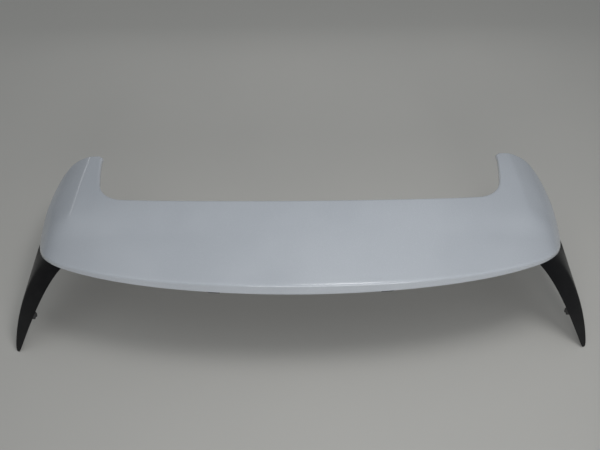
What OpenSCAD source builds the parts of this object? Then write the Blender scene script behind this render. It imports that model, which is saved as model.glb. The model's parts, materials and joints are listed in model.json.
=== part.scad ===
// Tailgate spoiler: a painted upper shell with two forward arms, closed from
// below by a lower shell, with a tapering side fin under each rear corner.
//
// Frame: the origin is midway between the two inner studs, on their seating
// plane. +X points to the right, +Y forward along the car and +Z up.

/* [Overall shape] */
// Height of the top surface above the seating plane at the centre
top_z = 50; // [46:1:54]
// How far the top surface drops from the centre to the half width
crown_drop = 32; // [30:1:36]
// Half of the painted shell's width
half_width = 592; // [588:1:596]
// Radius of the top surface's fore and aft curve
camber_radius = 3000; // [2500:100:4000]
// Distance of the arm crease from the centre plane
crease_x = 514; // [510:1:517]
// Slope that starts at the crease
crease_slope = 0.25; // [0.2:0.01:0.3]

/* [Shell sections] */
// Thickness of the painted skin
skin = 3; // [2.5:0.1:3.2]
// Thickness of the lower shell
floor_skin = 2.5; // [2:0.1:2.8]
// Height of the turned-down front flange
flange_h = 12; // [11:0.5:13]
// Radius of the front edge and the arm tips
front_r = 5; // [4.5:0.1:5.5]
// Radius of the rear lip's upper edge
lip_r = 5; // [4.5:0.1:6]
// Height of the rear lip at the ends
lip_min = 11; // [10.5:0.5:12]
// Extra height of the rear lip at the centre
lip_gain = 13; // [11:1:14]
// Depth of the lower shell below the top surface at the centre
floor_depth = 44; // [43:1:45]
// Depth of the lower shell below the top surface in the arms
arm_depth = 15; // [14.5:0.5:16]

/* [Mounting] */
// Distance of the inner studs from the centre plane
inner_stud_x = 180; // [150:1:200]
// Distance of the outer studs from the centre plane
outer_stud_x = 520; // [517:1:523]
// Distance of the outer studs in front of the inner ones
outer_stud_y = 120; // [110:1:130]
// Radius of a stud's thread
stud_r = 3; // [3:0.5:3]
// Length of a stud below the seating plane
stud_len = 26; // [20:1:30]
// Distance of the locating pins from the centre plane
locator_x = 512; // [510:1:516]
// Distance of the locating pins in front of the inner studs
locator_y = 172; // [168:1:176]
// Radius of a locating pin
locator_r = 4; // [4:0.1:4.5]

/* [Lamp] */
// Half of the lamp window's width
lamp_half = 164; // [158:1:166]
// Distance of the lens face behind the inner studs
lens_y = 156; // [155:1:157]

/* [Hidden] */
$fn = 48;

paint = [0.79, 0.82, 0.86];
gloss_black = [0.04, 0.04, 0.045];
satin_black = [0.09, 0.09, 0.09];
foam = [0.16, 0.16, 0.17];
steel = [0.62, 0.62, 0.6];

// Plan outline, right half, as joined cubic curves: from the centre round the rear corner, along the arm
// and round its tip
rear_end = [495, -102];
side_end = [half_width, 20];
arm_outer = [572, 206];
arm_inner = [480, 206];
tip_outer = [494, 236];
tip_inner = [481, 222];
outer_path = [[[0, -178], [200, -178], [385, -151], rear_end],
              [rear_end, [550, -80], [half_width - 3, -35], side_end],
              [side_end, [half_width + 2, 110], [half_width, 170], arm_outer],
              [arm_outer, [562, 235], [527, 242], tip_outer]];
fillet_start = [411, 76];
fillet_end = [468, 137];
inner_path = [[[0, 53], [150, 53], [320, 63], fillet_start],
              [fillet_start, [442, 84], [462, 106], fillet_end],
              [fillet_end, [473, 160], [477, 185], arm_inner],
              [arm_inner, [481, 211], [481, 217], tip_inner]];
// Shares of the run from the centre to the tip at which the joined curves meet
path_breaks = [0, 0.62, 0.82, 0.94, 1];
// Short straight edge across the corner between the notch and the tip's front edge
corner = [[481, 228], [488.5, 235]];

seat_gap = 0.4;
boss_r = 14;
boss_top = 8;
plate_t = 2.5;
neck_r = stud_r + 0.2;
neck_hole_r = stud_r + 0.4;

// ---------- curves and surfaces ----------

function bezier(p, t) = pow(1 - t, 3) * p[0] + 3 * pow(1 - t, 2) * t * p[1]
                      + 3 * (1 - t) * t * t * p[2] + pow(t, 3) * p[3];
function smooth(a, b, x) = let (t = max(0, min(1, (x - a) / (b - a)))) t * t * (3 - 2 * t);
function unit(v) = v / norm(v);
function side(u) = u < 0 ? -1 : 1;
function path_half(path, a) = let (k = len([for (i = [1:3]) if (a >= path_breaks[i]) i]),
                                   span = path_breaks[k + 1] - path_breaks[k])
                              bezier(path[k], (a - path_breaks[k]) / span);
function on_path(path, u) = let (p = path_half(path, abs(u))) [side(u) * p[0], p[1]];
// Unit vector in plan across a path, pointing from the notch towards the outer edge
function across(path, u) = let (a = min(abs(u), 0.998),
                                d = path_half(path, a + 0.001) - path_half(path, max(0, a - 0.001)),
                                n = unit([-d[1], d[0]]) * -1)
                           [side(u) * n[0], n[1]];

// Width over which the crease is rounded: crisp in the arms, lost in the rear corners
function crease_blend(y) = 6 + 60 * smooth(0, 90, 50 - y);
// Height of the top surface
crown_reach = 580;
side_droop = 6.4e-5;
// The sides droop less in the arms than at the rear corners
function arm_relief(y) = 1 - 0.6 * smooth(-30, 100, y);
function top_at(x, y) = let (s = abs(x) - crease_x, w = crease_blend(y))
    top_z - crown_drop * pow(x / crown_reach, 2) - y * y / (2 * camber_radius)
    - crease_slope * (s + sqrt(s * s + w * w)) / 2 - side_droop * arm_relief(y) * pow(max(0, s), 3);
// The lip is highest and leans most at the centre and fades towards the rear corners
lip_reach = 540;
function rear_share(x) = max(0, 1 - pow(abs(x) / lip_reach, 1.5));
function lip_height(x) = lip_min + lip_gain * rear_share(x);
function lip_slant(x) = 1 + 3 * rear_share(x);
function edge_drop(r, f) = r * (1 - sqrt(1 - pow(1 - f, 2)));
function lift(q, dz) = [q[0], q[1], top_at(q[0], q[1]) - dz];
// Vertical thickness of a skin of unit thickness, from the slope of the top surface
function steepness(q) = let (gx = (top_at(q[0] + 1, q[1]) - top_at(q[0] - 1, q[1])) / 2,
                             gy = (top_at(q[0], q[1] + 1) - top_at(q[0], q[1] - 1)) / 2)
    sqrt(1 + gx * gx + gy * gy);
function between(a, b, w) = a * (1 - w) + b * w;

// One cross-section of the painted skin, from the front flange to the lip's lower edge.
// The surface lies k inside the outer one
function upper_section(u, k) =
    let (pi = on_path(inner_path, u), po = on_path(outer_path, u),
         ni = across(inner_path, u), no = across(outer_path, u),
         slant = lip_slant(po[0]), face = po - no * (slant + k), outer_face = po - no * slant,
         start = pi + ni * front_r, end = po - no * (slant + lip_r), bottom = po - no * k)
    concat(
        [lift(pi + ni * k, flange_h)],
        [for (f = [0, 0.3]) let (q = pi + ni * (k + (front_r - k) * f))
            lift(q, k * steepness(q) + edge_drop(front_r - k, f))],
        [for (w = [0, 0.12, 0.25, 0.4, 0.55, 0.68, 0.8, 0.9, 1]) let (q = between(start, end, w))
            lift(q, k * steepness(q))],
        [for (f = [0.5, 0.15, 0]) let (q = face - no * (lip_r - k) * f)
            lift(q, k * steepness(q) + edge_drop(lip_r - k, f))],
        [[bottom[0], bottom[1], top_at(outer_face[0], outer_face[1]) - lip_height(po[0])]]);

// The skin carried past its last section towards the corner by the share reach, and turned down by a
// share of the flange. The surface lies k inside the outer one
function tip_section(row, k, reach, share) =
    let (along = unit(corner[1] - corner[0]), out = [-along[1], along[0]],
         from = tip_inner * along, to = tip_outer * along)
    [for (p = row) let (q = [abs(p[0]), p[1]], w = (q * along - from) / (to - from),
                        e = q + (between(corner[0], corner[1], w) - out * k - q) * reach,
                        flange_z = top_at(q[0], q[1]) - flange_h)
        [side(p[0]) * e[0], e[1], p[2] - max(0, p[2] - flange_z) * share]];

step_counts = [14, 9, 6, 7];
half_steps = concat([for (k = [0:3], i = [0:step_counts[k] - 1])
                        path_breaks[k] + (path_breaks[k + 1] - path_breaks[k]) * i / step_counts[k]], [1]);
run_steps = concat([for (i = [len(half_steps) - 1:-1:1]) -half_steps[i]], half_steps);

function upper_grid(k) =
    let (rows = [for (u = run_steps) upper_section(u, k)], last = len(rows) - 1,
         r = front_r - k, h = flange_h - k, far = r + 0.5,
         turns = [[r * sin(45) / far, r * (1 - cos(45)) / h], [r / far, r / h], [1, 0.9]])
    concat([for (i = [2:-1:0]) tip_section(rows[0], k, turns[i][0], turns[i][1])], rows,
           [for (t = turns) tip_section(rows[last], k, t[0], t[1])]);

// Depth of the lower shell below the top surface; v runs from the notch to the outer edge
function mid_depth(x) = floor_depth + (arm_depth - floor_depth) * smooth(200, 500, abs(x));
function floor_depth_at(x, v) = let (front = flange_h + 1, mid = mid_depth(x), rear = lip_height(x) - 0.8)
    front + (mid - front) * smooth(0, 0.16, v) + (rear - mid) * smooth(0.78, 1, v);

function lower_start(u) = on_path(inner_path, u) + across(inner_path, u) * (skin + seat_gap);
function lower_end(u) = let (po = on_path(outer_path, u))
    po - across(outer_path, u) * (lip_slant(po[0]) + skin + 2.7);
function lower_point(u, v) = let (q = between(lower_start(u), lower_end(u), v))
    lift(q, floor_depth_at(q[0], v));
function lower_section(u) =
    concat([lift(lower_start(u), front_r + 1)],
           [for (v = [0, 0.05, 0.11, 0.17, 0.35, 0.55, 0.76, 0.84, 0.92, 1]) lower_point(u, v)]);

lower_steps = [for (u = run_steps) u * 0.98];
// The floor's last section, lifted to meet the inside of the arm tip
function raised(row) =
    [for (p = row) let (high = top_at(p[0], p[1]) - skin - 1.5 - floor_skin)
        [p[0], p[1] + 1, p[2] * 0.15 + high * 0.85]];
function lower_grid() =
    let (rows = [for (u = lower_steps) lower_section(u)])
    concat([raised(rows[0])], rows, [raised(rows[len(rows) - 1])]);

// ---------- grids to solids ----------

function grid_normal(g, r, c) =
    let (r0 = max(r - 1, 0), r1 = min(r + 1, len(g) - 1), c0 = max(c - 1, 0), c1 = min(c + 1, len(g[0]) - 1))
    unit(cross(g[r][c1] - g[r][c0], g[r1][c] - g[r0][c]));
function offset_grid(g, t) =
    [for (r = [0:len(g) - 1]) [for (c = [0:len(g[0]) - 1]) g[r][c] + grid_normal(g, r, c) * t]];

// Closed solid between an outer and an inner grid of the same size
module grid_solid(outer, inner) {
    rows = len(outer);
    cols = len(outer[0]);
    second = rows * cols;
    points = concat([for (row = outer) each row], [for (row = inner) each row]);
    sheet_faces = [for (r = [0:rows - 2], c = [0:cols - 2])
        let (a = r * cols + c, b = a + 1, d = a + cols, e = d + 1)
        each [[a, e, b], [a, d, e], [second + a, second + b, second + e], [second + a, second + e, second + d]]];
    side_faces = [for (r = [0:rows - 2]) let (a = r * cols, d = a + cols, b = a + cols - 1, e = d + cols - 1)
        each [[a, second + d, d], [a, second + a, second + d], [b, e, second + e], [b, second + e, second + b]]];
    end_faces = [for (c = [0:cols - 2]) let (a = c, b = c + 1, d = (rows - 1) * cols + c, e = d + 1)
        each [[a, b, second + b], [a, second + b, second + a], [d, second + e, e], [d, second + d, second + e]]];
    polyhedron(points, concat(sheet_faces, side_faces, end_faces), convexity = 8);
}

// ---------- side fins ----------

// Where the fin meets the shell: a point just under the lip, for a share u of the run
function root_point(u) =
    let (p = path_half(outer_path, u), q = p - across(outer_path, u) * 0.8,
         face = p - across(outer_path, u) * lip_slant(p[0]))
    [q[0], q[1], top_at(face[0], face[1]) - lip_height(p[0]) - 1.5];
root_front = 0.82;
root_corner = 0.70;
root_rear = 0.635;
rail_front = [root_point(root_front), [598, -18, -38], [620, -112, -112], [641, -184, -180]];
rail_crease = [root_point(root_corner), [602, -88, -42], [640, -146, -128], [643, -188, -186]];
rail_rear = [root_point(root_rear), [555, -120, -40], [600, -163, -125], [635, -191, -187]];

fin_crown = 12;
function fin_bulge(f, t) = fin_crown * f * (1 - f) * (1 - t);
// The fin's last stretch narrows to a blunt round end
tip_start = 0.94;
function tip_scale(t) = sqrt(1 - 0.7 * pow(max(0, t - tip_start) / (1 - tip_start), 2));
// Point of the fin's outer face: s runs from the front edge over the crease to the rear edge
function fin_flat(s, t) =
    let (a = bezier(rail_front, t), c = bezier(rail_crease, t), b = bezier(rail_rear, t),
         f = s < 0.5 ? s * 2 : s * 2 - 1, straight = s < 0.5 ? a * (1 - f) + c * f : c * (1 - f) + b * f)
    straight + unit(c - (a + b) / 2) * fin_bulge(f, t);
function root_share(s) = s < 0.5 ? root_front + (root_corner - root_front) * s * 2
                                 : root_corner + (root_rear - root_corner) * (s * 2 - 1);
function fin_point(s, t) =
    let (mid = (bezier(rail_front, t) + bezier(rail_rear, t)) / 2,
         p = fin_flat(s, t) + (root_point(root_share(s)) - fin_flat(s, 0)) * (1 - smooth(0, 0.35, t)))
    mid + (p - mid) * tip_scale(t);
// Point of the open inner side, on the straight line from rim to rim
function chord_point(s, t, rim) =
    let (a = fin_point(0, t), b = fin_point(1, t), inset = unit(b - a) * min(rim, 0.3 * norm(b - a)))
    (a + inset) * (1 - s) + (b - inset) * s;
function fin_inner(s, t) =
    let (p = fin_point(s, t), to_chord = chord_point(s, t, skin) - p)
    p + to_chord * min(1, skin / norm(to_chord));
// Up along the fin, forward across its open side, and the outward normal of that side
function fin_up(t) = unit(chord_point(0.5, t - 0.02, skin) - chord_point(0.5, t + 0.02, skin));
function fin_normal(t) = unit(cross(unit(fin_point(0, t) - fin_point(1, t)), fin_up(t)));

fin_s = [for (i = [0:10]) i / 10];
fin_t = concat([for (i = [0:20]) i / 20 * tip_start], [0.955, 0.97, 0.985, 1]);
carrier_steps = [for (i = [2:17]) fin_t[i]];
// The panel's upper front corner is cut back to clear the painted shell
function panel_share(s, t) = let (cut = 0.35 * (1 - smooth(0.08, 0.25, t))) cut + (1 - cut) * s;
carrier_s = [0, 0.25, 0.5, 0.75, 1];
tape_t = [for (i = [0:10]) 0.2 + i / 10 * 0.56];
tape_s = [0.06, 0.2];
tape_thick = 4;
clip_t = 0.6;
clip_s = 0.9;
clip_reach = 8;

module fin_skin() {
    color(gloss_black)
        grid_solid([for (t = fin_t) [for (s = fin_s) fin_point(s, t)]],
                   [for (t = fin_t) [for (s = fin_s) fin_inner(s, t)]]);
}

// Inner panel that closes the fin and carries the ledge for its two screws
tab_screws = [[539, -46], [529.5, -67]];
tab_z = -20;
tab_t = 4;
carrier_t = 2.2;
module fin_carrier() {
    color(satin_black)
        union() {
            grid_solid([for (t = carrier_steps) [for (s = carrier_s)
                           chord_point(panel_share(s, t), t, skin + seat_gap + 10)
                               + fin_normal(t) * carrier_t]],
                       [for (t = carrier_steps) [for (s = carrier_s)
                           chord_point(panel_share(s, t), t, skin + seat_gap)]]);
            translate([0, 0, tab_z - tab_t])
                linear_extrude(tab_t)
                    difference() {
                        polygon([[564, -44], [555, -66], [547, -84], [524, -80],
                                 [518, -60], [529, -34], [554, -32]]);
                        for (p = tab_screws) translate(p) circle(r = 2.4);
                    }
        }
}

// Snap tab on the inner face of the panel, beside the fin's rear edge
module fin_clip() {
    at = chord_point(clip_s, clip_t, skin + seat_gap) - fin_normal(clip_t) * 0.3;
    z_dir = fin_up(clip_t);
    x_dir = fin_normal(clip_t);
    y_dir = cross(z_dir, x_dir);
    color(satin_black)
        multmatrix([[x_dir[0], y_dir[0], z_dir[0], at[0]],
                    [x_dir[1], y_dir[1], z_dir[1], at[1]],
                    [x_dir[2], y_dir[2], z_dir[2], at[2]],
                    [0, 0, 0, 1]])
            union() {
                translate([-clip_reach, -4, -7]) cube([clip_reach, 8, 14]);
                translate([-clip_reach - 2.5, 0, 0]) rotate([0, 90, 0]) cylinder(r = 3, h = 3);
            }
}

module fin_tape() {
    color(foam)
        grid_solid([for (t = tape_t) [for (s = tape_s) chord_point(s, t, skin + 1) - fin_normal(t) * 0.2]],
                   [for (t = tape_t) [for (s = tape_s) chord_point(s, t, skin + 1) - fin_normal(t) * tape_thick]]);
}

module both_sides() {
    children();
    mirror([1, 0, 0]) children();
}

module pan_screw(shank_r, shank_l, head_r, head_h) {
    cylinder(r = shank_r, h = shank_l);
    translate([0, 0, -head_h])
        difference() {
            cylinder(r = head_r, h = head_h);
            translate([0, 0, -0.1]) cylinder(r = head_r * 0.42, h = head_h * 0.6, $fn = 6);
        }
}

module fin_screws() {
    color(steel)
        both_sides()
            for (p = tab_screws) translate([p[0], p[1], tab_z - tab_t - 0.1]) pan_screw(2, 14, 4.5, 2.5);
}

// ---------- painted shell and lower shell ----------

module upper_shell() {
    color(paint) grid_solid(upper_grid(0), upper_grid(skin));
}

stud_at = [[inner_stud_x, 0], [outer_stud_x, outer_stud_y]];
// Places on the floor that join the two shells
tower_at = [[70, -100], [290, -95], [430, -35]];
push_at = [330, -15];
window = [60, 34];
window_y = -38;
notch_half = 208;
notch_front = -132;
function floor_z(p) = top_at(p[0], p[1]) - mid_depth(p[0]);
outer_boss_r = 13;
outer_boss_top = 10;
locator_boss_r = 10;
// Space left between a boss over a fin screw and the painted skin
tab_boss_gap = 3;
function tab_boss_h(p) = top_at(p[0], p[1]) - skin - tab_boss_gap - tab_z;
seal_r = 9;
seal_t = 3;

module lower_shell() {
    color(satin_black) {
        grid = lower_grid();
        difference() {
            union() {
                grid_solid(offset_grid(grid, floor_skin), grid);
                both_sides() {
                    translate([inner_stud_x, 0, 0]) cylinder(r = boss_r, h = boss_top);
                    translate([outer_stud_x, outer_stud_y, 0]) cylinder(r = outer_boss_r, h = outer_boss_top);
                    translate([locator_x, locator_y, 0]) cylinder(r = locator_boss_r, h = 6);
                    for (p = tab_screws)
                        translate([p[0], p[1], tab_z + 0.05]) cylinder(r = 5, h = tab_boss_h(p));
                    for (p = tower_at) translate([p[0], p[1], floor_z(p) - 2]) cylinder(r = 8, h = 6);
                    translate([push_at[0], push_at[1], floor_z(push_at) - 2]) cylinder(r = 11, h = 6);
                }
            }
            both_sides() {
                for (p = stud_at) {
                    translate([p[0], p[1], -1]) cylinder(r = neck_hole_r, h = 20);
                    translate([p[0], p[1], -1]) cylinder(r = seal_r + 0.3, h = seal_t + 1.1);
                }
                translate([locator_x, locator_y, -5]) cylinder(r = 2.5, h = 12);
                for (p = tab_screws) translate([p[0], p[1], tab_z - 1]) cylinder(r = 2.1, h = 13);
                for (p = tower_at) translate([p[0], p[1], floor_z(p) - 8]) cylinder(r = 2.4, h = 20);
                translate([push_at[0], push_at[1], floor_z(push_at) - 8]) cylinder(r = 3.6, h = 20);
            }
            translate([-window[0] / 2, window_y - window[1] / 2, -20]) cube([window[0], window[1], 40]);
            translate([-notch_half, notch_front - 60, -30]) cube([2 * notch_half, 60, 80]);
        }
    }
}

// ---------- fasteners, seals and supports ----------

module shell_towers() {
    color(satin_black)
        both_sides()
            for (p = tower_at)
                translate([p[0], p[1], floor_z(p) + 4.2])
                    difference() {
                        cylinder(r = 6, h = top_at(p[0], p[1]) - skin - 0.7 - floor_z(p) - 4.2);
                        translate([0, 0, -0.1]) cylinder(r = 2.1, h = 16);
                    }
}

module shell_screws() {
    color(steel)
        both_sides()
            for (p = tower_at) translate([p[0], p[1], floor_z(p) - 2.1]) pan_screw(2, 15, 4.5, 2.5);
}

module stud_plates() {
    color(steel)
        both_sides() {
            translate([inner_stud_x, 0, boss_top + 0.05])
                difference() {
                    translate([-20, -13, 0]) cube([40, 26, plate_t]);
                    translate([0, 0, -1]) cylinder(r = neck_r + 0.1, h = plate_t + 2);
                }
            translate([outer_stud_x, outer_stud_y, outer_boss_top + 0.05])
                difference() {
                    cylinder(r = 9, h = plate_t - 0.5);
                    translate([0, 0, -1]) cylinder(r = neck_r + 0.1, h = plate_t + 2);
                }
        }
}

// Stud with its thread below the seating plane, a plain neck above it and its head at the height head_z
module stud(head_z, head_r) {
    translate([0, 0, -stud_len]) cylinder(r1 = stud_r - 0.8, r2 = stud_r, h = 1);
    translate([0, 0, -stud_len + 1]) cylinder(r = stud_r, h = stud_len - 1);
    cylinder(r = neck_r, h = head_z);
    translate([0, 0, head_z]) cylinder(r = head_r, h = 2);
}

module inner_studs() {
    color(steel) both_sides() translate([inner_stud_x, 0, 0]) stud(boss_top + 0.1 + plate_t, 7);
}

module outer_studs() {
    color(steel)
        both_sides() translate([outer_stud_x, outer_stud_y, 0]) stud(outer_boss_top + 0.1 + plate_t - 0.5, 5);
}

module stud_seals() {
    color(foam)
        both_sides()
            for (p = stud_at)
                translate([p[0], p[1], 0])
                    difference() {
                        cylinder(r = seal_r, h = seal_t);
                        translate([0, 0, -1]) cylinder(r = neck_r + 0.3, h = seal_t + 2);
                    }
}

module locating_pins() {
    color(satin_black)
        both_sides()
            translate([locator_x, locator_y, 0]) {
                translate([0, 0, -2.05]) cylinder(r = 8, h = 2);
                translate([0, 0, -14]) cylinder(r = locator_r, h = 12.5);
                translate([0, 0, -17]) cylinder(r1 = locator_r - 1.8, r2 = locator_r, h = 3);
                translate([0, 0, -0.5]) cylinder(r = 2.4, h = 5.5);
            }
}

module push_clips() {
    color(satin_black)
        both_sides()
            translate([push_at[0], push_at[1], floor_z(push_at) - 2.05]) {
                translate([0, 0, -2]) cylinder(r = 9, h = 2);
                translate([0, 0, -18]) cylinder(r = 2.2, h = 24);
                for (i = [0:3]) translate([0, 0, -18 + 3.6 * i]) cylinder(r1 = 2.2, r2 = 4, h = 2.4);
            }
}

// Foam strip stuck under the floor between the stations v0 and v1, over the run from u0 to u1
module floor_foam(u0, u1, v0, v1, thick) {
    runs = [for (u = lower_steps) if (u > u0 && u < u1) u];
    function under(u, k, drop) = lower_point(u, v0) * (1 - k) + lower_point(u, v1) * k - [0, 0, drop];
    grid_solid([for (u = runs) [for (k = [0.12, 0.88]) under(u, k, 0.15)]],
               [for (u = runs) [for (k = [0.12, 0.88]) under(u, k, thick)]]);
}

module front_edge_seal() {
    color(foam) floor_foam(-0.6, 0.6, 0, 0.05, 6);
}

module arm_pad() {
    color(foam) floor_foam(0.745, 0.80, 0.35, 0.55, 5);
}

// ---------- brake lamp ----------

bezel_half = 207;
lamp_low = 4;
lamp_high = 22;
lens_low = 6.5;
lens_high = 19;
trail_r = 2050;
rear_y = -178;

// Box from one corner to the other, centred across the car
module centred_box(half_x, y0, y1, z0, z1) {
    translate([-half_x, y0, z0]) cube([2 * half_x, y1 - y0, z1 - z0]);
}

module lamp_bezel() {
    color(gloss_black)
        difference() {
            union() {
                // Soffit that follows the lip's curve
                intersection() {
                    centred_box(bezel_half, rear_y, -lens_y + 4, lamp_high, lamp_high + 2.4);
                    translate([0, rear_y + trail_r, 0]) cylinder(r = trail_r - 5, h = 100, $fn = 360);
                }
                centred_box(bezel_half, -lens_y, -lens_y + 4, lamp_low, lamp_high + 2.4);
                centred_box(bezel_half, -lens_y, notch_front - 0.5, lamp_low, lamp_low + 2);
                both_sides()
                    translate([0, -lens_y + 4, 0])
                        rotate([90, 0, 0])
                            linear_extrude(11)
                                polygon([[lamp_half + 1, lamp_high + 2.4], [lamp_half + 1, lamp_low + 1],
                                         [lamp_half + 22, lamp_low + 3.5], [bezel_half, lamp_high - 4],
                                         [bezel_half, lamp_high + 2.4]]);
            }
            centred_box(lamp_half, -lens_y - 1, -lens_y + 5, lens_low, lens_high);
            both_sides() translate([lamp_half + 8, -lens_y + 5, 13]) rotate([90, 0, 0]) cylinder(r = 2.05, h = 9);
        }
}

module lamp_lens() {
    color([0.65, 0.03, 0.03, 0.8])
        union() {
            centred_box(lamp_half - 0.5, -lens_y + 1, -lens_y + 4, lens_low + 0.5, lens_high - 0.5);
            centred_box(lamp_half - 3, -lens_y + 4, -lens_y + 6, lens_low + 1.5, lens_high - 1.5);
        }
}

housing_front = -133.5;
module lamp_housing() {
    color(satin_black)
        difference() {
            union() {
                centred_box(lamp_half, -lens_y + 5.2, housing_front, lamp_low + 2.2, lamp_high - 2);
                centred_box(lamp_half + 15, -lens_y + 5.2, -lens_y + 8.2, 8.5, 17.5);
            }
            centred_box(lamp_half - 2, -lens_y + 5, housing_front - 2, lamp_low + 4, lamp_high - 3.8);
            both_sides() translate([lamp_half + 8, -lens_y + 9, 13]) rotate([90, 0, 0]) cylinder(r = 2.2, h = 5);
            translate([50, housing_front - 3, 8.5]) cube([16, 5, 7]);
        }
}

board_y = housing_front - 5;
module lamp_board() {
    color([0.1, 0.35, 0.15]) centred_box(lamp_half - 6, board_y, board_y + 1.6, lamp_low + 4.5, lamp_high - 4.3);
}

led_count = 12;
led_z = 13;
function led_x(i) = (i - (led_count - 1) / 2) * 26;
module lamp_leds() {
    color([0.8, 0.75, 0.7])
        for (i = [0:led_count - 1])
            translate([led_x(i), board_y - 0.05, led_z])
                rotate([90, 0, 0]) {
                    translate([-2, -2, 0]) cube([4, 4, 1]);
                    cylinder(r = 1.6, h = 1.8);
                }
}

module lamp_reflector() {
    color([0.75, 0.75, 0.76])
        difference() {
            centred_box(lamp_half - 3.5, board_y - 6, board_y - 2.2, lamp_low + 4.4, lamp_high - 4.2);
            for (i = [0:led_count - 1])
                translate([led_x(i), board_y - 2.1, led_z]) rotate([90, 0, 0]) cylinder(r1 = 2.4, r2 = 4.3, h = 4);
        }
}

module lamp_gasket() {
    color(foam)
        difference() {
            centred_box(lamp_half - 0.2, -lens_y + 4.1, -lens_y + 5.1, lens_low + 0.2, lens_high - 0.2);
            centred_box(lamp_half - 2.8, -lens_y + 4, -lens_y + 5.2, lens_low + 1.3, lens_high - 1.3);
        }
}

module lamp_screws() {
    color(steel)
        both_sides()
            translate([lamp_half + 8, -lens_y + 8.3, 13]) rotate([90, 0, 0]) pan_screw(2, 10, 4, 2);
}

// Inlet for the car's own lead
module lamp_socket() {
    color([0.85, 0.85, 0.8])
        union() {
            difference() {
                translate([50.3, housing_front - 2.5, 8.8]) cube([15.4, 14.5, 6.4]);
                translate([52, housing_front + 1, 10.2]) cube([12, 12, 3.6]);
            }
            for (x = [55, 61]) translate([x - 0.5, housing_front, 11.5]) cube([1, 8, 1]);
        }
}

upper_shell();
lower_shell();
mirror([1, 0, 0]) fin_skin();  // left_fin_skin
fin_skin();  // right_fin_skin
mirror([1, 0, 0]) fin_carrier();  // left_fin_carrier
fin_carrier();  // right_fin_carrier
mirror([1, 0, 0]) fin_clip();  // left_fin_clip
fin_clip();  // right_fin_clip
mirror([1, 0, 0]) fin_tape();  // left_fin_tape
fin_tape();  // right_fin_tape
fin_screws();
shell_towers();
shell_screws();
stud_plates();
inner_studs();
outer_studs();
stud_seals();
locating_pins();
push_clips();
front_edge_seal();
mirror([1, 0, 0]) arm_pad();  // left_arm_pad
arm_pad();  // right_arm_pad
lamp_bezel();
lamp_housing();
lamp_reflector();
lamp_lens();
lamp_board();
lamp_leds();
lamp_gasket();
lamp_screws();
lamp_socket();
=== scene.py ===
import json
import math

import bmesh
import bpy
import numpy as np
from mathutils import Matrix, Vector


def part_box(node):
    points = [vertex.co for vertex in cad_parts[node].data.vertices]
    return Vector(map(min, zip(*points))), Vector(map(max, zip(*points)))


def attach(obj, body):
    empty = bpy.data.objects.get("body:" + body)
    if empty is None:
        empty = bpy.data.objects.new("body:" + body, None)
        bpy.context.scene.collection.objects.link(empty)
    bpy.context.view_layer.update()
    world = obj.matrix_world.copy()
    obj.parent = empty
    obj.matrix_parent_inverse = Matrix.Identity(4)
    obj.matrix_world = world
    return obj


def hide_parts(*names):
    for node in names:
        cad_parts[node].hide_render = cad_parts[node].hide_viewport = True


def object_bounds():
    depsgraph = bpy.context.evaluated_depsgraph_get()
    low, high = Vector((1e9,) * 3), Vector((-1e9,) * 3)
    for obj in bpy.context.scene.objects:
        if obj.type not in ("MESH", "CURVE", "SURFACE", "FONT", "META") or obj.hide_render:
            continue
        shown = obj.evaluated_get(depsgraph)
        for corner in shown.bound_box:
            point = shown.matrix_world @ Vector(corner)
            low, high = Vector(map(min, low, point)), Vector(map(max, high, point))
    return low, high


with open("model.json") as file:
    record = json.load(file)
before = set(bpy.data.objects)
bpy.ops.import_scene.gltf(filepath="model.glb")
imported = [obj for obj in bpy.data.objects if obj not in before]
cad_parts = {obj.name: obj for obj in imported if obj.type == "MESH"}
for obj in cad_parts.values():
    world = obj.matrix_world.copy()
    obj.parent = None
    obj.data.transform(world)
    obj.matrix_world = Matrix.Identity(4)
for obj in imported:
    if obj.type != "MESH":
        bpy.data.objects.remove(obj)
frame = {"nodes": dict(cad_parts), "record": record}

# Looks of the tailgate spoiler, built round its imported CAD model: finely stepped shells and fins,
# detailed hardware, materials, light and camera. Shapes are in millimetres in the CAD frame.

MM = 0.001
cad_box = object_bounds()

# ---------- driving dimensions ----------
# These are the CAD model's own. Only the shell's height and the curve of its arm tips are a hair less,
# so that the finer surfaces stay inside the CAD model's box.

TOP_Z = 49.99
CROWN_DROP = 32
CROWN_REACH = 580
CAMBER_RADIUS = 3000
HALF_WIDTH = 592
CREASE_X = 514
CREASE_SLOPE = 0.25
SIDE_DROOP = 6.4e-5
SKIN = 3
FLOOR_SKIN = 2.5
SEAT_GAP = 0.4
FLANGE_H = 12
FRONT_R = 5
LIP_R = 5
LIP_MIN = 11
LIP_GAIN = 13
LIP_REACH = 540
FLOOR_DEPTH = 44
ARM_DEPTH = 15

REAR_END = (495, -102)
SIDE_END = (HALF_WIDTH, 20)
ARM_OUTER = (572, 206)
ARM_INNER = (480, 206)
TIP_OUTER = (494, 236)
TIP_INNER = (481, 222)
FILLET_START = (411, 76)
FILLET_END = (468, 137)
OUTER_PATH = (((0, -178), (200, -178), (385, -151), REAR_END),
              (REAR_END, (550, -80), (HALF_WIDTH - 3, -35), SIDE_END),
              (SIDE_END, (HALF_WIDTH + 2, 110), (HALF_WIDTH, 170), ARM_OUTER),
              (ARM_OUTER, (562, 235), (527, 241.4), TIP_OUTER))
INNER_PATH = (((0, 53), (150, 53), (320, 63), FILLET_START),
              (FILLET_START, (442, 84), (462, 106), FILLET_END),
              (FILLET_END, (473, 160), (477, 185), ARM_INNER),
              (ARM_INNER, (481, 211), (481, 217), TIP_INNER))
PATH_BREAKS = (0, 0.62, 0.82, 0.94, 1)
CORNER = np.array(((481, 228), (488.5, 235)))


# ---------- curves and surfaces ----------

def unit(v):
    return v / np.linalg.norm(v, axis=-1, keepdims=True)


def smooth(a, b, x):
    t = np.clip((x - a) / (b - a), 0, 1)
    return t * t * (3 - 2 * t)


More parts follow.
